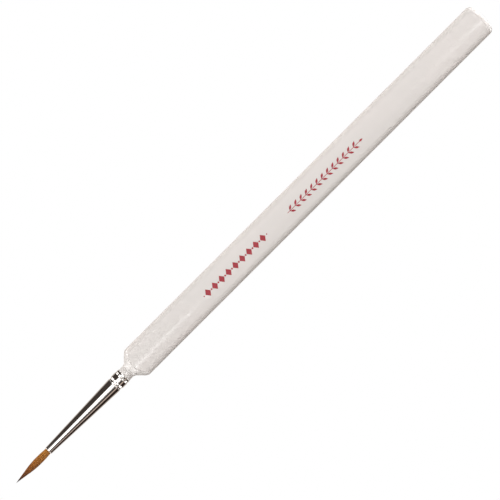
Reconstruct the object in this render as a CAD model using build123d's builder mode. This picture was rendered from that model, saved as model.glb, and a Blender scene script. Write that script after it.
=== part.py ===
"""Fine detail brush: a lacquered three-sided wooden handle, a seamless plated ferrule crimped on
its tenon, and a pointed tuft of hair that is tied, potted in resin and free to bend.

The brush lies along X on one crowned face of the handle: hair tip at -X, butt at +X, +Z up.
The origin is the middle of the length, on the surface it lies on.
"""

import math
import os

from build123d import *

os.makedirs("parts", exist_ok=True)

# Lengths along the brush, mm
brush_length = 190.0
tuft_length = 13.1
ferrule_length = 30.8
neck_length = 1.4

# Three-sided grip: round corners joined by gently crowned faces
corner_radius = 2.0
corner_reach = 3.5
face_height = 3.96

# Turned shoulder between the neck and the grip
neck_radius = 2.16
cove_radius = 1.5
shoulder_slope = 45.0
crown_radius = 5.0
shoulder_spare = 0.4

# Butt end
butt_edge_radius = 1.8
butt_dome = 0.8

lacquer_thickness = 0.15

# Ferrule: drawn taper, then two rolled crimps with a straight bead between them
ferrule_wall = 0.22
mouth_radius = 1.21
taper_end_radius = 2.275
first_crimp_radius = 2.09
bead_radius = 2.37
second_crimp_radius = 2.23
lip_radius = 2.32
lip_end_radius = 2.25
taper_to_crimp = 0.9
bead_length = 1.4
bead_to_first_crimp = 0.65
bead_to_second_crimp = 0.4
second_crimp_to_lip = 0.35
lip_length = 0.6

# Tenon in the ferrule
tenon_length = 10.0
tenon_chamfer = 0.4
glue_film = 0.05
glue_length = 8.6

# Hair
hair_clearance = 0.04
belly_radius = 1.16
belly_from_mouth = 3.9
point_length = 4.4
point_radius = 0.735
tip_radius = 0.04
buried_hair_length = 9.0
bend_from_mouth = 1.0
bend_limit = 40.0
bend_relief = 1.0
bend_gap = 0.02

# Tie of the hair bundle, and the resin that holds it
thread_radius = 0.08
thread_turns = 6
tie_from_root = 1.2
tie_squeeze = 0.06
resin_from_mouth = 2.6
resin_behind_root = 2.2

# Places along the brush
tip_x = -brush_length / 2
mouth_x = tip_x + tuft_length
ferrule_end_x = mouth_x + ferrule_length
neck_end_x = ferrule_end_x + neck_length
butt_x = brush_length / 2
bend_x = mouth_x - bend_from_mouth
root_x = mouth_x + buried_hair_length
lip_x = ferrule_end_x - lip_length
second_crimp_x = lip_x - second_crimp_to_lip
bead_end_x = second_crimp_x - bead_to_second_crimp
bead_start_x = bead_end_x - bead_length
first_crimp_x = bead_start_x - bead_to_first_crimp
taper_end_x = first_crimp_x - taper_to_crimp

# The grip's faces are arcs that touch both of their corner rounds
axis_height = face_height
vertex_radius = corner_reach + corner_radius
corner_side = corner_reach * math.sin(math.radians(60))
corner_rise = corner_reach * math.cos(math.radians(60))
face_drop = face_height - corner_rise - corner_radius
face_radius = corner_radius + (corner_side**2 + face_drop**2) / (2 * face_drop)
face_centre = face_height - face_radius
shoulder_top = vertex_radius + shoulder_spare


# Arc centres of the shoulder and of the butt's dome
shoulder_angle = math.radians(shoulder_slope)
cove_centre = neck_radius + cove_radius
crown_centre = shoulder_top - crown_radius
flank_rise = crown_centre + crown_radius * math.cos(shoulder_angle)
flank_rise -= cove_centre - cove_radius * math.cos(shoulder_angle)
flank_run = flank_rise / math.tan(shoulder_angle)
crown_x = neck_end_x + flank_run + (cove_radius + crown_radius) * math.sin(shoulder_angle)
dome_radius = (vertex_radius**2 + butt_dome**2) / (2 * butt_dome)
dome_centre_x = butt_x - dome_radius

# Places of the tenon and of what is buried in the ferrule
tenon_x = ferrule_end_x - tenon_length
glue_x = ferrule_end_x - glue_length
hair_radius = mouth_radius - ferrule_wall - hair_clearance
belly_x = mouth_x - belly_from_mouth
thread_pitch = 1.8 * thread_radius
tie_x = root_x - tie_from_root
resin_start_x = mouth_x + resin_from_mouth
resin_end_x = root_x + resin_behind_root
half_wedge = (bend_limit + bend_relief) / 2

side_plane = Plane((0, 0, axis_height))
brush_axis = Axis((0, 0, axis_height), (1, 0, 0))


def section_plane(x):
    """A plane across the brush at x, seen from the butt end."""
    return Plane(origin=(x, 0, axis_height), x_dir=(0, 1, 0), z_dir=(1, 0, 0))


def grip_outline(inset):
    """Closed outline of the three-sided grip, drawn this far inside the lacquered surface."""
    corner = corner_radius - inset
    face = face_radius - inset
    half_angle = math.degrees(math.asin(corner_side / (face_radius - corner_radius)))
    for face_direction in (-90, 30, 150):
        along_face = face_direction + 90
        centre = Vector(face_centre, 0).rotate(Axis.Z, face_direction)
        start = centre + Vector(face, 0).rotate(Axis.Z, face_direction - half_angle)
        middle = centre + Vector(face, 0).rotate(Axis.Z, face_direction)
        end = centre + Vector(face, 0).rotate(Axis.Z, face_direction + half_angle)
        ThreePointArc(start, middle, end)
        next_direction = face_direction + 120
        next_centre = Vector(face_centre, 0).rotate(Axis.Z, next_direction)
        next_start = next_centre + Vector(face, 0).rotate(Axis.Z, next_direction - half_angle)
        vertex = Vector(corner_reach + corner, 0).rotate(Axis.Z, face_direction + 60)
        ThreePointArc(end, vertex, next_start)


def wave(start, end):
    """A smooth rise or fall between two (along, radius) points, level at both."""
    middle = ((start[0] + end[0]) / 2, (start[1] + end[1]) / 2)
    TangentArc(start, middle, tangent=(1, 0))
    TangentArc(end, middle, tangent=(-1, 0))


def turned_outline(inset):
    """Closed (along, radius) outline of the handle as turned: neck, cove, flank, crown and domed butt."""
    slope = math.radians(shoulder_slope)
    cove = cove_radius + inset
    crown = crown_radius - inset
    dome = dome_radius - inset
    top = shoulder_top - inset
    neck = neck_radius - inset
    cove_end = (neck_end_x + cove * math.sin(slope), cove_centre - cove * math.cos(slope))
    crown_start = (crown_x - crown * math.sin(slope), crown_centre + crown * math.cos(slope))
    rim_x = dome_centre_x + math.sqrt(dome**2 - top**2)
    Line((ferrule_end_x, 0), (ferrule_end_x, neck))
    Line((ferrule_end_x, neck), (neck_end_x, neck))
    TangentArc((neck_end_x, neck), cove_end, tangent=(1, 0))
    Line(cove_end, crown_start)
    TangentArc((crown_x, top), crown_start, tangent=(-1, 0))
    Line((crown_x, top), (rim_x, top))
    TangentArc((dome_centre_x + dome, 0), (rim_x, top), tangent=(0, 1))
    Line((dome_centre_x + dome, 0), (ferrule_end_x, 0))


def handle_blank(inset):
    """The handle from the ferrule to the butt, this far inside the lacquered surface."""
    with BuildSketch(side_plane) as turned:
        with BuildLine():
            turned_outline(inset)
        make_face()
    revolve(turned.sketch, axis=brush_axis)
    with BuildSketch(section_plane(ferrule_end_x)) as grip:
        with BuildLine():
            grip_outline(inset)
        make_face()
    extrude(grip.sketch, amount=butt_x - ferrule_end_x, mode=Mode.INTERSECT)
    butt_rim = edges().filter_by(is_butt_rim)
    fillet(butt_rim, radius=butt_edge_radius - inset)


def is_butt_rim(edge):
    """True for the edges where the grip's sides meet the domed butt."""
    middle = edge.center()
    from_axis = math.hypot(middle.Y, middle.Z - axis_height)
    return edge.bounding_box().min.X > butt_x - corner_radius and from_axis > face_height / 2


def taper_radius(x):
    """Outer radius of the ferrule's straight taper at x."""
    rise = (taper_end_radius - mouth_radius) / (taper_end_x - mouth_x)
    return mouth_radius + rise * (x - mouth_x)


def ferrule_line(start_x, inset):
    """The ferrule's side from start_x to its lip, this far inside its outer surface."""
    line = [
        (taper_end_x, taper_end_radius - inset),
        (first_crimp_x, first_crimp_radius - inset),
        (bead_start_x, bead_radius - inset),
        (bead_end_x, bead_radius - inset),
        (second_crimp_x, second_crimp_radius - inset),
        (lip_x, lip_radius - inset),
    ]
    Line((start_x, taper_radius(start_x) - inset), line[0])
    wave(line[0], line[1])
    wave(line[1], line[2])
    Line(line[2], line[3])
    wave(line[3], line[4])
    wave(line[4], line[5])
    TangentArc(line[5], (ferrule_end_x, lip_end_radius - inset), tangent=(1, 0))


def hair_outline():
    """Closed (along, radius) outline of the whole hair bundle, from its point to its buried root."""
    Line((tip_x, 0), (tip_x, tip_radius))
    Line((tip_x, tip_radius), (tip_x + point_length, point_radius))
    TangentArc((belly_x, belly_radius), (tip_x + point_length, point_radius), tangent=(-1, 0))
    TangentArc((belly_x, belly_radius), (mouth_x, hair_radius), tangent=(1, 0))
    Line((mouth_x, hair_radius), (root_x, hair_radius))
    Line((root_x, hair_radius), (root_x, 0))
    Line((root_x, 0), (tip_x, 0))


def cut_behind(apex_x, end_x, lean):
    """Turns away the hair between a cone, with its apex on the axis, and a plane at end_x."""
    reach = 2 * belly_radius
    with BuildSketch(side_plane) as waste:
        with BuildLine():
            Polyline(
                (apex_x, 0),
                (apex_x + reach * math.tan(math.radians(lean)), reach),
                (end_x, reach),
                (end_x, 0),
                close=True,
            )
        make_face()
    revolve(waste.sketch, axis=brush_axis, mode=Mode.SUBTRACT)


# Waxed thread wound round the hair near its root, sunk a little into it
with BuildPart() as binding_thread:
    with BuildSketch(side_plane):
        with Locations((tie_x, hair_radius - tie_squeeze + thread_radius)):
            with GridLocations(thread_pitch, 1, thread_turns, 1):
                Circle(thread_radius)
    revolve(axis=brush_axis)

# Root of the hair in the ferrule, with the short stub that stands out of the mouth
with BuildPart() as hair_root:
    with BuildSketch(side_plane):
        with BuildLine():
            hair_outline()
        make_face()
    revolve(axis=brush_axis)
    cut_behind(bend_x, tip_x - tuft_length, half_wedge)
    add(binding_thread.part, mode=Mode.SUBTRACT)

# Free hair, which bends at the stub; the two leave a wedge for the bend between them
with BuildPart() as tuft:
    with BuildSketch(side_plane):
        with BuildLine():
            hair_outline()
        make_face()
    revolve(axis=brush_axis)
    cut_behind(bend_x - bend_gap, root_x + tuft_length, -half_wedge)

# Resin poured behind the hair, which fills the ferrule round the tied root
with BuildPart() as resin_plug:
    with BuildSketch(side_plane):
        with BuildLine():
            Polyline(
                (resin_start_x, 0),
                (resin_start_x, taper_radius(resin_start_x) - ferrule_wall),
                (resin_end_x, taper_radius(resin_end_x) - ferrule_wall),
                (resin_end_x, 0),
                close=True,
            )
        make_face()
    revolve(axis=brush_axis)
    add(hair_root.part, mode=Mode.SUBTRACT)
    add(binding_thread.part, mode=Mode.SUBTRACT)

# Seamless drawn tube with its two rolled crimps
with BuildPart() as ferrule:
    with BuildSketch(side_plane):
        with BuildLine():
            ferrule_line(mouth_x, 0)
            ferrule_line(mouth_x, ferrule_wall)
            Line((mouth_x, mouth_radius), (mouth_x, mouth_radius - ferrule_wall))
            Line((ferrule_end_x, lip_end_radius), (ferrule_end_x, lip_end_radius - ferrule_wall))
        make_face()
    revolve(axis=brush_axis)

# Wood of the handle, with the tenon that the crimps press into
with BuildPart() as handle_core:
    handle_blank(lacquer_thickness)
    tenon_inset = ferrule_wall + glue_film
    with BuildSketch(side_plane):
        with BuildLine():
            tenon_front_radius = taper_radius(tenon_x) - tenon_inset
            shoulder_x = tenon_x + tenon_chamfer
            Line((tenon_x, 0), (tenon_x, tenon_front_radius - tenon_chamfer))
            Line(
                (tenon_x, tenon_front_radius - tenon_chamfer),
                (shoulder_x, taper_radius(shoulder_x) - tenon_inset),
            )
            ferrule_line(shoulder_x, tenon_inset)
            Line((ferrule_end_x, lip_end_radius - tenon_inset), (ferrule_end_x, 0))
            Line((ferrule_end_x, 0), (tenon_x, 0))
        make_face()
    revolve(axis=brush_axis)

# Dipped lacquer over the whole handle up to the ferrule
with BuildPart() as lacquer_coat:
    handle_blank(0)
    add(handle_core.part, mode=Mode.SUBTRACT)

# Film of glue between the tenon and the ferrule
with BuildPart() as handle_glue:
    with BuildSketch(side_plane):
        with BuildLine():
            glue_radius = taper_radius(glue_x) - ferrule_wall
            ferrule_line(glue_x, ferrule_wall)
            ferrule_line(glue_x, ferrule_wall + glue_film)
            Line((glue_x, glue_radius), (glue_x, glue_radius - glue_film))
            Line(
                (ferrule_end_x, lip_end_radius - ferrule_wall),
                (ferrule_end_x, lip_end_radius - ferrule_wall - glue_film),
            )
        make_face()
    revolve(axis=brush_axis)

tuft.part.label = "tuft"
hair_root.part.label = "hair_root"
binding_thread.part.label = "binding_thread"
resin_plug.part.label = "resin_plug"
ferrule.part.label = "ferrule"
handle_glue.part.label = "handle_glue"
handle_core.part.label = "handle_core"
lacquer_coat.part.label = "lacquer_coat"

pieces = (tuft, hair_root, binding_thread, resin_plug, ferrule, handle_glue, handle_core, lacquer_coat)
for piece in pieces:
    export_step(piece.part, f"parts/{piece.part.label}.step")
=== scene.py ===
import math
import random

import bmesh
import bpy
from mathutils import Matrix, Vector
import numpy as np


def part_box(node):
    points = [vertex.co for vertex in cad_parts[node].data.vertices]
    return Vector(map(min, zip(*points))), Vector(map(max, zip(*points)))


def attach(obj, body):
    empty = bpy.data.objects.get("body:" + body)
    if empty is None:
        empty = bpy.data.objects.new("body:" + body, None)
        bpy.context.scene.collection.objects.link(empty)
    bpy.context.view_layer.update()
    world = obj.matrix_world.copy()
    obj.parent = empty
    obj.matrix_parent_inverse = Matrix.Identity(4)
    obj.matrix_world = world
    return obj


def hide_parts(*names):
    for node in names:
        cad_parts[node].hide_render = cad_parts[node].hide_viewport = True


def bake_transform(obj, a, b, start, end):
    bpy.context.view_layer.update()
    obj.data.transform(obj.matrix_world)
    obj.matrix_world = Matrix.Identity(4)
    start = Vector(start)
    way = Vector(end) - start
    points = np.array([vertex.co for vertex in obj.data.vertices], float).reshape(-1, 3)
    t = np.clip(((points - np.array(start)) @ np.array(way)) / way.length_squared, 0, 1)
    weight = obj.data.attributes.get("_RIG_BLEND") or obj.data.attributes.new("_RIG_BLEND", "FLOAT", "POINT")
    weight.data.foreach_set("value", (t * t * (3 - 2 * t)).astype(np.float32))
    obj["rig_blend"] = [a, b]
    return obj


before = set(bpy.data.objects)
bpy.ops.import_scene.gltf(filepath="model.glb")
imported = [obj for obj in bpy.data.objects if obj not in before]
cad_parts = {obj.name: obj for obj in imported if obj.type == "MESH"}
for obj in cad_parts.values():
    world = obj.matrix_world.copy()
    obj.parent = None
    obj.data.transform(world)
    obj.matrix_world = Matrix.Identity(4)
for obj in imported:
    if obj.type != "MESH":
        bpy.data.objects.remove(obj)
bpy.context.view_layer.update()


# --- Handle wood -------------------------------------------------------------------------------
# Close-grained hardwood, moulded three-sided and turned down to a neck and a tenon. It stays as
# designed under the lacquer, and only its finish is added here.


class Feed:
    """A shader socket. Arithmetic on it adds Math nodes, and node() adds any other node."""

    def __init__(self, tree, socket=None):
        self.tree = tree
        self.socket = socket

    def node(self, kind, settings, inputs, output=0):
        made = self.tree.nodes.new("ShaderNode" + kind)
        for name, value in settings.items():
            if name == "stops":
                ramp = made.color_ramp.elements
                while len(ramp) < len(value):
                    ramp.new(1)
                for stop, (place, colour) in zip(ramp, value):
                    stop.position = place
                    stop.color = colour
            else:
                setattr(made, name, value)
        for name, value in inputs.items():
            if isinstance(value, Feed):
                self.tree.links.new(value.socket, made.inputs[name])
            else:
                made.inputs[name].default_value = value
        return Feed(self.tree, made.outputs[output])

    def math(self, operation, *values):
        return self.node("Math", {"operation": operation}, dict(enumerate(values)))

    def __add__(self, other):
        return self.math("ADD", self, other)

    def __radd__(self, other):
        return self.math("ADD", other, self)

    def __sub__(self, other):
        return self.math("SUBTRACT", self, other)

    def __rsub__(self, other):
        return self.math("SUBTRACT", other, self)

    def __mul__(self, other):
        return self.math("MULTIPLY", self, other)

    def __rmul__(self, other):
        return self.math("MULTIPLY", other, self)

    def __truediv__(self, other):
        return self.math("DIVIDE", self, other)

    def between(self, low, high):
        """0 up to low, 1 from high, and a smooth rise between."""
        return self.node(
            "MapRange",
            {"interpolation_type": "SMOOTHSTEP"},
            {"Value": self, "From Min": low, "From Max": high},
        )

    def mix(self, first, second):
        """The first colour where this is 0, and the second where it is 1."""
        return self.node("Mix", {"data_type": "RGBA"}, {0: self, 6: first, 7: second}, 2)


def rgb(red, green, blue):
    """A colour from its 0 to 255 screen values."""
    levels = [value / 255 for value in (red, green, blue)]
    return (*[c / 12.92 if c <= 0.04045 else ((c + 0.055) / 1.055) ** 2.4 for c in levels], 1)


class Finish:
    """A material with its Principled shader. Steady values are set on the shader itself."""

    def __init__(self, name, **steady):
        self.material = bpy.data.materials.new(name)
        self.material.use_nodes = True
        self.tree = self.material.node_tree
        self.shader = self.tree.nodes["Principled BSDF"]
        self.start = Feed(self.tree)
        for socket, value in steady.items():
            self.shader.inputs[socket.replace("_", " ")].default_value = value

    def place(self):
        """The piece's own coordinates, in metres."""
        return self.start.node("TexCoord", {}, {}, "Object")

    def stretched(self, scale, shift=(0, 0, 0)):
        """The piece's coordinates, scaled differently along each axis."""
        inputs = {"Vector": self.place(), "Scale": scale, "Location": shift}
        return self.start.node("Mapping", {}, inputs)

    def noise(self, vector, scale, detail=2.0, roughness=0.5):
        inputs = {"Vector": vector, "Scale": scale, "Detail": detail, "Roughness": roughness}
        return self.start.node("TexNoise", {}, inputs)

    def ramp(self, value, *stops):
        return self.start.node("ValToRGB", {"stops": stops}, {"Fac": value})

    def feed(self, socket, value):
        self.tree.links.new(value.socket, self.shader.inputs[socket])

    def bump(self, height, distance):
        inputs = {"Height": height, "Distance": distance, "Strength": 1.0}
        self.feed("Normal", self.start.node("Bump", {}, inputs))


wood = Finish("handle_wood", Roughness=0.6)
along_grain = wood.stretched((0.06, 1, 1))
growth_rings = wood.start.node(
    "TexWave",
    {"bands_direction": "Y", "wave_type": "BANDS"},
    {"Vector": along_grain, "Scale": 180, "Distortion": 3.0, "Detail": 2.0, "Detail Scale": 2.0},
    "Fac",
)
pores = wood.noise(wood.stretched((0.05, 1, 1)), 5200, 3.0)
pale_wood, dark_wood = rgb(222, 190, 148), rgb(188, 150, 104)
wood_tone = wood.noise(along_grain, 420, 3.0) * 0.45 + growth_rings * 0.55
wood.feed("Base Color", wood_tone.mix(pale_wood, dark_wood))
wood.feed("Roughness", 0.5 + pores * 0.25)
wood.bump(pores, 0.00006)
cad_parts["handle_core"].data.materials[0] = wood.material


# --- Lacquer coat ------------------------------------------------------------------------------
# Several dips of warm white gloss lacquer over the wood, from the ferrule to the butt. It rounds
# every edge of the wood a little, and its face settles into a very faint orange peel. This piece
# and the next ones are shaped in millimetres, which settle() turns into the frame's metres.

MM = 0.001
ferrule_low, ferrule_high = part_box("ferrule")
axis_height = (ferrule_low.z + ferrule_high.z) / 2 / MM
ferrule_end_x = ferrule_high.x / MM
butt_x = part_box("lacquer_coat")[1].x / MM
lacquer_thickness = 0.15
corner_radius, corner_reach, face_height = 2.0, 3.5, 3.96
neck_radius, neck_length = 2.16, 1.4
cove_radius, crown_radius = 1.5, 5.0
shoulder_slope = math.radians(45)
shoulder_spare = 0.4
butt_edge_radius, butt_dome = 1.8, 0.8
half_butt_turn = math.radians(38)
scallop_edge = 0.16
hold_length = 0.4
end_chamfer, end_step = 0.04, 0.03
cove_steps, flank_steps, grip_steps = 10, 16, 30

vertex_radius = corner_reach + corner_radius
corner_side = corner_reach * math.sin(math.radians(60))
face_drop = face_height - corner_reach * math.cos(math.radians(60)) - corner_radius
face_radius = corner_radius + (corner_side**2 + face_drop**2) / (2 * face_drop)
face_half_angle = math.asin(corner_side / (face_radius - corner_radius))
neck_end_x = ferrule_end_x + neck_length
cove_centre = neck_radius + cove_radius
crown_centre = vertex_radius + shoulder_spare - crown_radius
cove_end_x = neck_end_x + cove_radius * math.sin(shoulder_slope)
cove_end_radius = cove_centre - cove_radius * math.cos(shoulder_slope)
crown_start_radius = crown_centre + crown_radius * math.cos(shoulder_slope)
flank_run = (crown_start_radius - cove_end_radius) / math.tan(shoulder_slope)
crown_x = cove_end_x + flank_run + crown_radius * math.sin(shoulder_slope)
dome_radius = (vertex_radius**2 + butt_dome**2) / (2 * butt_dome)
dome_centre_x = butt_x - dome_radius


def grip_radius(turn):
    """How far the grip's surface is from the axis, in a direction round it (0 is +Y, radians)."""
    third = math.radians(120)
    from_face = abs((turn + math.radians(90) + third / 2) % third - third / 2)
    back = face_radius - face_height
    reach = math.sqrt(face_radius**2 - (back * math.sin(from_face)) ** 2) - back * math.cos(from_face)
    if reach * math.sin(from_face) <= face_radius * math.sin(face_half_angle):
        return reach
    from_vertex = third / 2 - from_face
    across = corner_reach * math.sin(from_vertex)
    return corner_reach * math.cos(from_vertex) + math.sqrt(corner_radius**2 - across**2)


def shoulder_x(radius):
    """Where the turned shoulder reaches a radius, past the end of the cove."""
    if radius <= crown_start_radius:
        return cove_end_x + (radius - cove_end_radius) / math.tan(shoulder_slope)
    return crown_x - math.sqrt(crown_radius**2 - (radius - crown_centre) ** 2)


def dome_x(radius):
    """Where the domed butt is at a radius."""
    return dome_centre_x + math.sqrt(dome_radius**2 - radius**2)


def section_turns():
    """Directions round the axis that space points evenly over each face and each corner."""
    face_steps, corner_steps = 16, 22
    turns = []
    for side in range(3):
        square_to_face = math.radians(-90 + 120 * side)
        for step in range(face_steps):
            lean = face_half_angle * (2 * step / face_steps - 1)
            out = face_radius * math.cos(lean) - (face_radius - face_height)
            turns.append(square_to_face + math.atan2(face_radius * math.sin(lean), out))
        for step in range(corner_steps):
            sweep = math.radians(120) - 2 * face_half_angle
            lean = face_half_angle + sweep * step / corner_steps
            across = corner_side + corner_radius * math.sin(lean)
            out = face_height - face_drop - corner_radius + corner_radius * math.cos(lean)
            turns.append(square_to_face + math.atan2(across, out))
    return turns


def ring_start(mesh, turns, x, radius):
    """A first ring of points round the axis, and its edges."""
    made = bmesh.ops.create_circle(mesh, segments=len(turns), radius=1)["verts"]
    for point, turn in zip(made, turns):
        point.co = (x, radius * math.cos(turn), radius * math.sin(turn))
    return list({edge for point in made for edge in point.link_edges})


def ring_on(mesh, ring, place):
    """Draws a ring of edges on to place(turn), which gives how far along and out each point is."""
    made = bmesh.ops.extrude_edge_only(mesh, edges=ring)["geom"]
    points = {item for item in made if isinstance(item, bmesh.types.BMVert)}
    for point in points:
        turn = math.atan2(point.co.z, point.co.y)
        x, radius = place(turn)
        point.co = (x, radius * math.cos(turn), radius * math.sin(turn))
    edges = {edge for point in points for edge in point.link_edges}
    return [edge for edge in edges if all(end in points for end in edge.verts)]


def round_ring(x, radius):
    """A place for ring_on that is the same all the way round."""
    return lambda turn: (x, radius)


def close_ring(mesh, ring):
    """Fills a small ring with a fan round its middle."""
    face = bmesh.ops.contextual_create(mesh, geom=ring)["faces"]
    bmesh.ops.poke(mesh, faces=face)


def soften(mesh, edges, width, segments):
    """Rounds edges over, as wide on each side as given."""
    bmesh.ops.bevel(
        mesh, geom=edges, offset=width, segments=segments, profile=0.5, affect="EDGES", material=-1
    )


def settle(mesh, name, material, smooth=True):
    """Makes a finished piece from millimetres round the brush's axis, at its place in the frame."""
    bmesh.ops.remove_doubles(mesh, verts=mesh.verts, dist=1e-5)
    bmesh.ops.recalc_face_normals(mesh, faces=mesh.faces)
    mesh.transform(Matrix.Scale(MM, 4) @ Matrix.Translation((0, 0, axis_height)))
    for face in mesh.faces:
        face.smooth = smooth
    data = bpy.data.meshes.new(name)
    mesh.to_mesh(data)
    mesh.free()
    data.materials.append(material)
    piece = bpy.data.objects.new(name, data)
    bpy.context.scene.collection.objects.link(piece)
    return piece


coat = bmesh.new()
coat_start_x = ferrule_end_x + 0.01
ring = ring_start(coat, section_turns(), coat_start_x, neck_radius - end_step)
ring = ring_on(coat, ring, round_ring(coat_start_x + end_chamfer, neck_radius))
ring = ring_on(coat, ring, round_ring(neck_end_x, neck_radius))
for step in range(1, cove_steps + 1):
    lean = shoulder_slope * step / cove_steps
    x = neck_end_x + cove_radius * math.sin(lean)
    ring = ring_on(coat, ring, round_ring(x, cove_centre - cove_radius * math.cos(lean)))
for step in range(1, flank_steps + 1):
    def up_flank(turn, share=step / flank_steps):
        radius = cove_end_radius + share * (grip_radius(turn) - cove_end_radius)
        return shoulder_x(radius), radius
    ring = ring_on(coat, ring, up_flank)
scallop = ring
ring = ring_on(
    coat, ring, lambda turn: (shoulder_x(grip_radius(turn)) + hold_length, grip_radius(turn))
)
grip_start_x, grip_end_x = crown_x + 1.0, butt_x - 3
for step in range(grip_steps + 1):
    x = grip_start_x + (grip_end_x - grip_start_x) * step / grip_steps
    ring = ring_on(coat, ring, lambda turn, x=x: (x, grip_radius(turn)))
ring = ring_on(coat, ring, lambda turn: (dome_x(grip_radius(turn)), grip_radius(turn)))
rim = ring
for share in (0.6, 0.4, 0.2, 0.06):
    ring = ring_on(
        coat, ring, lambda turn, s=share: (dome_x(s * grip_radius(turn)), s * grip_radius(turn))
    )
close_ring(coat, ring)
soften(coat, scallop, scallop_edge, 3)
soften(coat, rim, butt_edge_radius * math.tan(half_butt_turn), 11)

lacquer = Finish("lacquer", IOR=1.5)
warm_white, cool_white, thin_white = rgb(209, 203, 199), rgb(207, 202, 198), rgb(199, 190, 183)
drift = lacquer.noise(lacquer.stretched((0.3, 1, 1)), 160, 2.0).between(0.35, 0.65)
from_axis = lacquer.start.node(
    "VectorMath",
    {"operation": "LENGTH"},
    {0: lacquer.stretched((0, 1, 1), (0, 0, -axis_height * MM))},
    1,
)
at_corners = from_axis.between(0.0052, 0.0056) * 0.35
tone = drift.mix(warm_white, cool_white)
lacquer.feed("Base Color", at_corners.mix(tone, thin_white))
handled = lacquer.noise(lacquer.place(), 140, 2.0).between(0.4, 0.7)
lacquer.feed("Roughness", 0.13 + handled * 0.02)
peel = lacquer.noise(lacquer.place(), 700, 1.0)
lacquer.bump(peel, 0.0000005)

skin = settle(coat, "lacquer_skin", lacquer.material)
wall = skin.modifiers.new("wall", "SOLIDIFY")
wall.thickness = lacquer_thickness * MM
wall.offset = -1
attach(skin, "handle")
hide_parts("lacquer_coat")


# --- Printed marks -----------------------------------------------------------------------------
# Dark red ink, pad printed on one face of the grip. It is a plain ornament: a chain of lozenges
# and dots, then a sprig of small leaves. The ink stands a hair proud and follows the crowned face.

mouth_x = ferrule_low.x / MM
ink_film = 0.012
ink_sunk = 0.02
printed_face = math.radians(150)
mark_offset = -0.3
chain_start_x, chain_length, chain_height = mouth_x + 63.4, 24.9, 2.5
chain_links = 9
lozenge_share = 0.72
dot_size, end_dot_size, end_dot_gap = 0.56, 0.4, 0.2
sprig_start_x, sprig_length = mouth_x + 97.0, 28.9
sprig_pairs = 13
stem_width = 0.17
leaf_length, leaf_width, leaf_reach = 1.8, 0.68, 0.64
leaf_lean = math.radians(38)
end_leaf_length, end_leaf_width, end_leaf_reach = 1.6, 0.6, 0.7
strip_width, strip_shift = 0.31, 0.04


def inked(mesh, outline, centre, size, turn=0.0):
    """A flat inked shape: an outline of the given size, turned, with its middle at a point."""
    place = Matrix.Translation((*centre, 0)) @ Matrix.Rotation(turn, 4, "Z")
    place = place @ Matrix.Diagonal((size[0] / 2, size[1] / 2, 1, 1))
    bmesh.ops.transform(mesh, verts=outline, matrix=place)


def round_outline(mesh, points):
    """A dot from many points, or a lozenge from four."""
    return bmesh.ops.create_circle(mesh, cap_ends=True, segments=points, radius=1)["verts"]


def leaf_outline(mesh):
    """A dot pinched to a point at both ends."""
    made = round_outline(mesh, 16)
    for point in made:
        point.co.y *= 1 - abs(point.co.x) ** 1.5 * 0.75
    return made


def print_on_face(mesh, name):
    """Thickens flat ink, wraps it on the crowned face in narrow strips and makes the piece."""
    for strip in range(-6, 5):
        everything = [*mesh.verts, *mesh.edges, *mesh.faces]
        cut = Vector((0, strip_width * strip + strip_shift, 0))
        bmesh.ops.bisect_plane(mesh, geom=everything, dist=1e-6, plane_co=cut, plane_no=(0, 1, 0))
    body = bmesh.ops.extrude_face_region(mesh, geom=list(mesh.faces))["geom"]
    raised = {item for item in body if isinstance(item, bmesh.types.BMVert)}
    back = face_radius - face_height
    for point in mesh.verts:
        level = face_radius + (ink_film if point in raised else -ink_sunk)
        lean = point.co.y / face_radius
        out, up = level * math.cos(lean) - back, level * math.sin(lean)
        point.co.y = out * math.cos(printed_face) + up * math.sin(printed_face)
        point.co.z = out * math.sin(printed_face) - up * math.cos(printed_face)
    piece = settle(mesh, name, ink.material, smooth=False)
    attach(piece, "handle")


ink = Finish("ink", Roughness=0.5)
speckle = ink.noise(ink.place(), 14000, 2.0).between(0.3, 0.75)
ink.feed("Base Color", speckle.mix(rgb(140, 16, 32), rgb(166, 34, 48)))
ink.feed("Roughness", 0.35 + speckle * 0.2)

chain = bmesh.new()
pitch = chain_length / chain_links
for link in range(chain_links):
    x = chain_start_x + pitch * (link + 0.5)
    inked(chain, round_outline(chain, 4), (x, mark_offset), (pitch * lozenge_share, chain_height))
    if link:
        between = (x - pitch / 2, mark_offset)
        inked(chain, round_outline(chain, 16), between, (dot_size, dot_size))
for x in (chain_start_x - end_dot_gap, chain_start_x + chain_length + end_dot_gap):
    inked(chain, round_outline(chain, 16), (x, mark_offset), (end_dot_size, end_dot_size))
print_on_face(chain, "printed_chain")

sprig = bmesh.new()
stem = bmesh.ops.create_grid(sprig, x_segments=1, y_segments=1, size=1)["verts"]
inked(sprig, stem, (sprig_start_x + sprig_length / 2, mark_offset), (sprig_length, stem_width))
pitch = sprig_length / (sprig_pairs + 0.5)
for pair in range(sprig_pairs):
    x = sprig_start_x + pitch * (pair + 0.4) + 0.8
    for side in (-1, 1):
        leaf_place = (x, mark_offset + side * leaf_reach)
        inked(sprig, leaf_outline(sprig), leaf_place, (leaf_length, leaf_width), side * leaf_lean)
end_place = (sprig_start_x + sprig_length + end_leaf_reach, mark_offset)
inked(sprig, leaf_outline(sprig), end_place, (end_leaf_length, end_leaf_width))
print_on_face(sprig, "printed_sprig")


# --- Ferrule -----------------------------------------------------------------------------------
# Seamless tube, drawn to a taper, nickel plated and polished. Two rolled crimps grip the tenon,
# with a straight bead between them, and the edge at the hair is burnished round.

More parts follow.
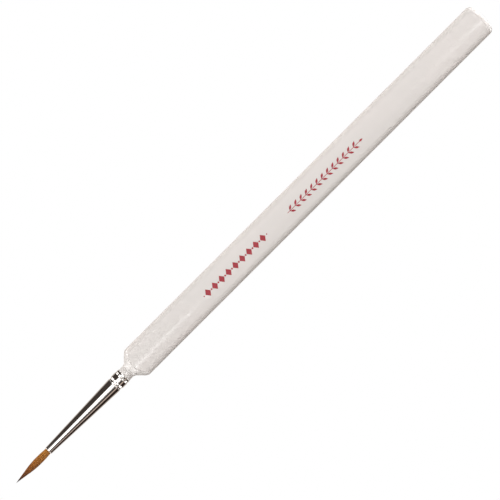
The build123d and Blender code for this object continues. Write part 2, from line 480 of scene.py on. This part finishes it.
ferrule_wall = 0.22
mouth_radius, taper_end_radius = 1.21, 2.275
first_crimp_radius, bead_radius, second_crimp_radius = 2.09, 2.37, 2.23
lip_radius, lip_end_radius = 2.32, 2.25
lip_x = ferrule_end_x - 0.6
second_crimp_x = lip_x - 0.35
bead_end_x = second_crimp_x - 0.4
bead_start_x = bead_end_x - 1.4
first_crimp_x = bead_start_x - 0.65
taper_end_x = first_crimp_x - 0.9
taper_mark = 12
mouth_roll, lip_roll = 0.09, 0.06
wave_steps = 9
tube_steps = 112


def wave(start, end):
    """Points of a smooth rise or fall between two (along, radius) points, level at both."""
    for step in range(1, wave_steps + 1):
        share = step / wave_steps
        rise = share * share * (3 - 2 * share)
        yield start[0] + (end[0] - start[0]) * share, start[1] + (end[1] - start[1]) * rise


def tube_side():
    """The outside of the tube, from its mouth to its lip."""
    marks = [
        (taper_end_x, taper_end_radius),
        (first_crimp_x, first_crimp_radius),
        (bead_start_x, bead_radius),
        (bead_end_x, bead_radius),
        (second_crimp_x, second_crimp_radius),
        (lip_x, lip_radius),
    ]
    yield mouth_x + 0.12, mouth_radius + 0.005
    taper = (taper_end_radius - mouth_radius) / (taper_end_x - mouth_x)
    yield mouth_x + taper_mark, mouth_radius + taper * taper_mark
    yield marks[0]
    for before, after in zip(marks, marks[1:]):
        yield from wave(before, after)
    yield lip_x + 0.3, lip_radius - 0.02


def burnished(end_x, roll, radius):
    """The edge of the wall from outside to inside, rounded out to end_x. At the mouth, roll is < 0."""
    half_wall = ferrule_wall / 2
    for angle in range(90, -91, -30):
        lean = math.radians(angle)
        yield end_x - roll + roll * math.cos(lean), radius - half_wall + half_wall * math.sin(lean)


tube = bmesh.new()
outside = list(tube_side())
inside = [(x, radius - ferrule_wall) for x, radius in outside]
lip_edge = list(burnished(ferrule_end_x, lip_roll, lip_end_radius))
mouth_edge = list(burnished(mouth_x, -mouth_roll, mouth_radius))
profile = outside + lip_edge + inside[::-1] + mouth_edge[::-1]
points = [tube.verts.new((x, radius, 0)) for x, radius in profile]
edges = [tube.edges.new(pair) for pair in zip(points, points[1:] + points[:1])]
bmesh.ops.spin(
    tube,
    geom=points + edges,
    cent=(0, 0, 0),
    axis=(1, 0, 0),
    angle=math.tau,
    steps=tube_steps,
    use_merge=True,
)

nickel = Finish("nickel_plate", Metallic=1.0)
draw_lines = nickel.noise(nickel.stretched((0.02, 1, 1)), 16000, 4.0, 0.7)
grain = nickel.noise(nickel.place(), 9000, 3.0, 0.6)
cloud = nickel.noise(nickel.place(), 500, 2.0).between(0.3, 0.7)
nickel.feed("Base Color", cloud.mix(rgb(236, 232, 228), rgb(226, 221, 215)))
nickel.feed("Roughness", 0.04 + draw_lines * 0.05 + cloud * 0.02)
nickel.bump(draw_lines * 0.6 + grain * 0.4, 0.0000008)

plated_tube = settle(tube, "plated_ferrule", nickel.material)
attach(plated_tube, "handle")
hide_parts("ferrule")


# --- Glue, resin and tie -----------------------------------------------------------------------
# What holds the brush together inside the ferrule: a film of glue on the tenon, amber resin
# round the root of the hair, and waxed thread wound tight round the bundle before it is potted.

glue = Finish("glue", Roughness=0.35)
glue_clouds = glue.noise(glue.place(), 700, 3.0)
glue.feed("Base Color", glue_clouds.mix(rgb(214, 200, 160), rgb(190, 172, 128)))
glue.bump(glue_clouds, 0.00002)
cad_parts["handle_glue"].data.materials[0] = glue.material

resin = Finish("resin", Roughness=0.12)
resin_depth = resin.noise(resin.place(), 380, 3.0)
cells = resin.start.node("TexVoronoi", {}, {"Vector": resin.place(), "Scale": 2600})
bubbles = cells.between(0.08, 0.2)
amber = resin_depth.mix(rgb(176, 112, 38), rgb(120, 66, 18))
resin.feed("Base Color", bubbles.mix(rgb(220, 176, 98), amber))
resin.feed("Roughness", 0.3 - bubbles * 0.18)
resin.bump(bubbles, 0.00003)
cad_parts["resin_plug"].data.materials[0] = resin.material

thread_low, thread_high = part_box("binding_thread")
thread_radius, thread_turns, turn_steps = 0.078, 6, 24
thread_out = (thread_high.z - thread_low.z) / 2 / MM - thread_radius
thread_pitch = ((thread_high.x - thread_low.x) / MM - 2 * thread_radius) / thread_turns
winding = bmesh.new()
made = bmesh.ops.create_circle(winding, segments=8, radius=thread_radius)["verts"]
thread_start = Matrix.Translation((thread_low.x / MM + thread_radius, thread_out, 0))
bmesh.ops.transform(winding, verts=made, matrix=thread_start)
start = list({edge for point in made for edge in point.link_edges})
turned = bmesh.ops.spin(
    winding,
    geom=made + start,
    cent=(0, 0, 0),
    axis=(1, 0, 0),
    dvec=(thread_pitch / turn_steps, 0, 0),
    angle=math.tau * thread_turns,
    steps=turn_steps * thread_turns,
)["geom_last"]
bmesh.ops.contextual_create(winding, geom=start)
bmesh.ops.contextual_create(winding, geom=[e for e in turned if isinstance(e, bmesh.types.BMEdge)])

thread = Finish("waxed_thread", Roughness=0.6)
twist = thread.start.node(
    "TexWave",
    {"bands_direction": "DIAGONAL"},
    {"Vector": thread.place(), "Scale": 2400, "Distortion": 1.0},
    "Fac",
)
thread.feed("Base Color", twist.mix(rgb(232, 222, 196), rgb(196, 182, 148)))
thread.bump(twist, 0.00002)
wound_thread = settle(winding, "wound_thread", thread.material)
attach(wound_thread, "handle")
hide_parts("binding_thread")


# --- Hair --------------------------------------------------------------------------------------
# A bundle of fine natural hairs, cupped to a belly and a needle point. Each hair tapers, runs from
# the resin to near the point, and darkens towards its tip. All of it bends with the joint.

tip_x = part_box("tuft")[0].x / MM
belly_radius, belly_from_mouth = 1.16, 3.9
point_length, point_radius, tip_radius = 4.4, 0.735, 0.02
hair_radius = mouth_radius - ferrule_wall - 0.02
hair_thickness = 0.045
heart_share, heart_short = 0.965, 0.5
root_from_mouth, hair_start = 8.9, 1.6
shortest_hair = 5
bend_start = (mouth_x - 0.1) * MM
bend_end = tip_x * MM
belly_x = mouth_x - belly_from_mouth
random.seed(7)


def arc_drop(run, total_run, total_drop):
    """How far a circle that is level at its start has dropped after a run along."""
    radius = (total_run**2 + total_drop**2) / (2 * total_drop)
    return radius - math.sqrt(max(radius**2 - run**2, 0))


def hair_reach(x):
    """Radius of the bundle at x, from the point to the buried root."""
    if x >= mouth_x:
        return hair_radius
    if x >= belly_x:
        return belly_radius - arc_drop(x - belly_x, belly_from_mouth, belly_radius - hair_radius)
    if x >= tip_x + point_length:
        run = belly_x - tip_x - point_length
        return belly_radius - arc_drop(belly_x - x, run, belly_radius - point_radius)
    return tip_radius + (point_radius - tip_radius) * (x - tip_x) / point_length


def along_share(x):
    """0 at the mouth of the ferrule and 1 at the point."""
    return (mouth_x - x) / (mouth_x - tip_x)


def hair_layers(mesh):
    """The values that the hair's colour reads: how far along a point is, and its hair's tone."""
    layers = mesh.verts.layers.float
    return layers.new("along_hair"), layers.new("hair_tone")


heart = bmesh.new()
root_x = mouth_x + root_from_mouth
heart_end_x = tip_x + heart_short
heart_steps, heart_columns = 40, 60
turns = [math.tau * column / heart_columns for column in range(heart_columns)]
ring = ring_start(heart, turns, root_x, hair_radius * 0.5)
for step in range(heart_steps + 1):
    x = root_x + (heart_end_x - root_x) * step / heart_steps
    reach = hair_reach(x) - 0.5 * hair_thickness
    ring = ring_on(heart, ring, round_ring(x, max(reach * heart_share, 0.01)))
close_ring(heart, ring)
close_ring(heart, [edge for edge in heart.edges if edge.is_boundary])
share_layer, tone_layer = hair_layers(heart)
column_tones = [random.random() for column in range(heart_columns)]
for point in heart.verts:
    column = round(math.atan2(point.co.z, point.co.y) / math.tau * heart_columns)
    point[tone_layer] = column_tones[column % heart_columns]
    point[share_layer] = along_share(point.co.x)

straight_hair = bmesh.new()
hair_steps = 14
made = bmesh.ops.create_circle(straight_hair, segments=3, radius=1)["verts"]
bmesh.ops.transform(straight_hair, verts=made, matrix=Matrix.Rotation(math.radians(90), 4, "Y"))
ring = list({edge for point in made for edge in point.link_edges})
bmesh.ops.contextual_create(straight_hair, geom=ring)
for step in range(hair_steps):
    made = bmesh.ops.extrude_edge_only(straight_hair, edges=ring)["geom"]
    points = [item for item in made if isinstance(item, bmesh.types.BMVert)]
    bmesh.ops.translate(straight_hair, verts=points, vec=(1, 0, 0))
    ring = [e for p in points for e in p.link_edges if all(end in points for end in e.verts)]
    ring = list(set(ring))
bmesh.ops.contextual_create(straight_hair, geom=ring)
one_hair = bpy.data.meshes.new("one_hair")
straight_hair.to_mesh(one_hair)
straight_hair.free()


def lay_hair(bundle, layers, turn, depth, end_x, thickness, tone):
    """Adds one hair from inside the mouth to end_x, at a share, depth, of the bundle's radius."""
    share_layer, tone_layer = layers
    bundle.from_mesh(one_hair)
    bundle.verts.ensure_lookup_table()
    sway, phase = random.uniform(0.0, 0.05), random.uniform(0, math.tau)
    for point in bundle.verts[-len(one_hair.vertices):]:
        share = max(point.co.x, 0) / hair_steps
        x = mouth_x + hair_start + (end_x - mouth_x - hair_start) * share**0.9
        taper = thickness * (1 - 0.8 * max(share - 0.35, 0) / 0.65)
        reach = max(hair_reach(x) * depth - taper, 0.0)
        angle = turn + sway * math.sin(phase + 4 * share)
        side = Vector((0, -math.sin(angle), math.cos(angle)))
        out = Vector((0, math.cos(angle), math.sin(angle)))
        offset = side * point.co.y * taper * 1.15 + out * point.co.z * taper
        point.co = Vector((x, 0, 0)) + out * reach + offset
        point[share_layer] = along_share(x)
        point[tone_layer] = tone


bundle = bmesh.new()
bundle_layers = hair_layers(bundle)
hair_sleeves = ((0.93, 105, 0.4), (0.97, 120, 0.9), (1.0, 130, 1.6))
for depth, count, short in hair_sleeves:
    for number in range(count):
        turn = math.tau * (number + random.uniform(-0.35, 0.35)) / count
        end_x = tip_x + abs(random.gauss(0, short))
        end_x = min(end_x, tip_x + shortest_hair)
        thickness = hair_thickness * random.uniform(0.8, 1.15)
        sunk = depth * random.uniform(0.985, 1.0)
        lay_hair(bundle, bundle_layers, turn, sunk, end_x, thickness, random.random())

hair = Finish("hair", IOR=1.55, Specular_IOR_Level=0.3)
share = hair.start.node("Attribute", {"attribute_name": "along_hair"}, {}, 2)
tone = hair.start.node("Attribute", {"attribute_name": "hair_tone"}, {}, 2)
down_each = hair.start.node("CombineXYZ", {}, {0: share * 4, 1: tone * 60})
streak = hair.noise(down_each, 1.0, 3.0)
colour = hair.ramp(
    share + (tone - 0.5) * 0.1,
    (0.0, rgb(182, 124, 54)),
    (0.3, rgb(168, 108, 42)),
    (0.6, rgb(150, 88, 28)),
    (0.82, rgb(104, 56, 20)),
    (0.95, rgb(50, 28, 18)),
)
# Painted shade: shadow is a darker, shaded copy of the hair's colour. lit_hair mixes it in on random hairs and
# streaks, as if they lay in the shade of the others.
shadow = hair.ramp(share, (0.0, rgb(140, 88, 30)), (0.6, rgb(112, 62, 18)), (0.95, rgb(34, 20, 14)))
lit_hair = (tone * 0.5 + streak * 0.5).between(0.1, 0.75)
hair.feed("Base Color", lit_hair.mix(shadow, colour))
hair.feed("Roughness", 0.34 + streak * 0.16)

for name, mesh in (("hair_heart", heart), ("hair_strands", bundle)):
    piece = settle(mesh, name, hair.material)
    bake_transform(piece, "handle", "hair", (bend_start, 0, axis_height * MM), (bend_end, 0, axis_height * MM))
    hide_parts("tuft", "hair_root")


# --- Studio ------------------------------------------------------------------------------------
# A pale table in a white room, seen from 30 degrees above. The room's light changes round the
# brush and towards its two ends: dark bands draw crisp lines on the plated tube, and a narrow
# bright band, with a gap in its middle, draws a thin line down the gloss of the handle.

camera_rise = math.radians(30)
camera_distance, aim_drop = 0.9, 0.00016
table_reach = 3
table_colour = (0.55, 0.54, 0.53, 1)
lamp_power, lamp_size = 0.006, 0.08
end_power = 5.0
band_turn, band_shift = 72, 36

scene = bpy.context.scene
scene.view_settings.view_transform = "Standard"
look = Vector((0, -math.cos(camera_rise), math.sin(camera_rise)))
beneath = Vector((0, -math.sin(camera_rise), -math.cos(camera_rise)))
middle = Vector((0, 0, axis_height * MM))
camera_data = bpy.data.cameras.new("camera")
camera_data.lens = 225
camera_data.sensor_width = 36
camera_data.clip_start = 0.05
camera = bpy.data.objects.new("camera", camera_data)
right = (Vector((1, 0, 0)) + beneath).normalized()
up = (Vector((1, 0, 0)) - beneath).normalized()
aim = middle + beneath * aim_drop
camera.matrix_world = Matrix.Translation(aim + look * camera_distance) @ (
    Matrix((right, up, look)).transposed().to_4x4()
)
scene.collection.objects.link(camera)
scene.camera = camera


def grey(level):
    """A colourless light."""
    return (level, level, level, 1)


def light_mix(start, share, first, second):
    """A mix of two shaders by a socket."""
    return start.node("MixShader", {}, {0: share, 1: first, 2: second})


paper = bpy.data.materials.new("table_paper")
paper.use_nodes = True
paper.node_tree.nodes.clear()
sheet = Feed(paper.node_tree)
sheet_seen = sheet.node("LightPath", {}, {}, 0)
white = sheet.node("Emission", {}, {"Color": grey(1), "Strength": 1.0})
matt = sheet.node("BsdfDiffuse", {}, {"Color": table_colour})
paper_out = paper.node_tree.nodes.new("ShaderNodeOutputMaterial")
sheet_look = light_mix(sheet, sheet_seen, matt, white)
paper.node_tree.links.new(sheet_look.socket, paper_out.inputs["Surface"])

table_mesh = bmesh.new()
bmesh.ops.create_grid(table_mesh, x_segments=1, y_segments=1, size=table_reach)
table_data = bpy.data.meshes.new("table")
table_mesh.to_mesh(table_data)
table_mesh.free()
table_data.materials.append(paper)
table = bpy.data.objects.new("table", table_data)
scene.collection.objects.link(table)
table.visible_glossy = False

lamp_data = bpy.data.lights.new("butt_lamp", "AREA")
lamp_data.energy = lamp_power
lamp_data.size = lamp_size
lamp = bpy.data.objects.new("butt_lamp", lamp_data)
lamp_place = middle + Vector((0.15, 0, 0)) + look * 0.04 + beneath * 0.02
lit_place = middle + Vector((0.085, 0, 0))
lamp.matrix_world = Matrix.Translation(lamp_place) @ (
    (lamp_place - lit_place).to_track_quat("Z", "Y").to_matrix().to_4x4()
)
lamp.visible_glossy = False
scene.collection.objects.link(lamp)

world = bpy.data.worlds.new("studio")
scene.world = world
world.use_nodes = True
world.node_tree.nodes.clear()
room = Feed(world.node_tree)
direction = room.node("TexCoord", {}, {}, "Generated")
from_x, from_y, from_z = (room.node("SeparateXYZ", {}, {"Vector": direction}, n) for n in range(3))
to_look = from_y * look.y + from_z * look.z
to_beneath = from_y * beneath.y + from_z * beneath.z
lean = room.math("ARCTAN2", to_beneath, to_look) * (180 / math.pi)


def strip(start_lean, end_lean, edge=1.5):
    """1 between two angles round the brush from the camera's side, in degrees, and 0 outside."""
    start = lean.between(start_lean - edge, start_lean + edge)
    return start * (1 - lean.between(end_lean - edge, end_lean + edge))


def glint(full, faded):
    """The narrow bright band, 1 past full along the room and 0 before faded, with a smooth fade."""
    reach = abs(full - faded)
    across_band = strip(2.2, 4.8, 0.4)
    return across_band * ((from_x - faded) * ((full - faded) / reach) / reach).between(0, 1)


front_light = lean.between(-22, 18).mix(grey(1.75), (0.9, 0.86, 0.85, 1))
front_light = glint(-0.044, -0.021).mix(front_light, grey(12.5))
front_light = glint(0.103, 0.081).mix(front_light, grey(10.0))
bands_round = (
    (-29, 23, front_light),
    (29, 44, grey(0.07)),
    (52, 68, (0.62, 0.50, 0.44, 1)),
    (78, 122, (0.025, 0.015, 0.012, 1)),
)
round_light = (0.055, 0.045, 0.04, 1)
for start_lean, end_lean, light in bands_round:
    round_light = strip(start_lean, end_lean).mix(round_light, light)
behind = room.math("ABSOLUTE", lean).between(122, 130)
round_light = behind.mix(round_light, (0.60, 0.54, 0.50, 1))
round_share = lean / 360 + 0.5


def end_light(*levels):
    """Light from one end of the room: its level every 60 degrees round, from behind the brush."""
    stops = [(step / 6, grey(level / end_power)) for step, level in enumerate(levels)]
    return room.node("ValToRGB", {"stops": stops}, {"Fac": round_share})


at_tip_end = end_light(1.3, 3.3, 3.2, 0.0, 0.8, 3.3, 1.3)
at_tip_end = from_x.between(-0.9, -0.75).mix(grey(0.44), at_tip_end)
at_butt_end = end_light(1.3, 2.2, 2.8, 0.2, 1.5, 3.9, 1.3)
at_butt_end = from_x.between(0.75, 0.9).mix(at_butt_end, grey(0.7))
ends = from_x.between(-0.01, 0.01).mix(at_tip_end, at_butt_end)
round_bands = room.math("COSINE", (lean + band_shift) * (math.tau / band_turn)).between(-0.3, 0.3)
band_level = 0.15 + 1.7 * round_bands
end_shader = room.node("Background", {}, {"Color": ends, "Strength": end_power * band_level})
round_shader = room.node("Background", {}, {"Color": round_light, "Strength": 1.0})
to_an_end = room.math("ABSOLUTE", from_x).between(0.2, 0.7)
lit = light_mix(room, to_an_end, round_shader, end_shader)
plain = room.node("Background", {}, {"Color": grey(1), "Strength": 1.0})
room_seen = room.node("LightPath", {}, {}, 0)
world_out = world.node_tree.nodes.new("ShaderNodeOutputWorld")
room_look = light_mix(room, room_seen, lit, plain)
world.node_tree.links.new(room_look.socket, world_out.inputs["Surface"])
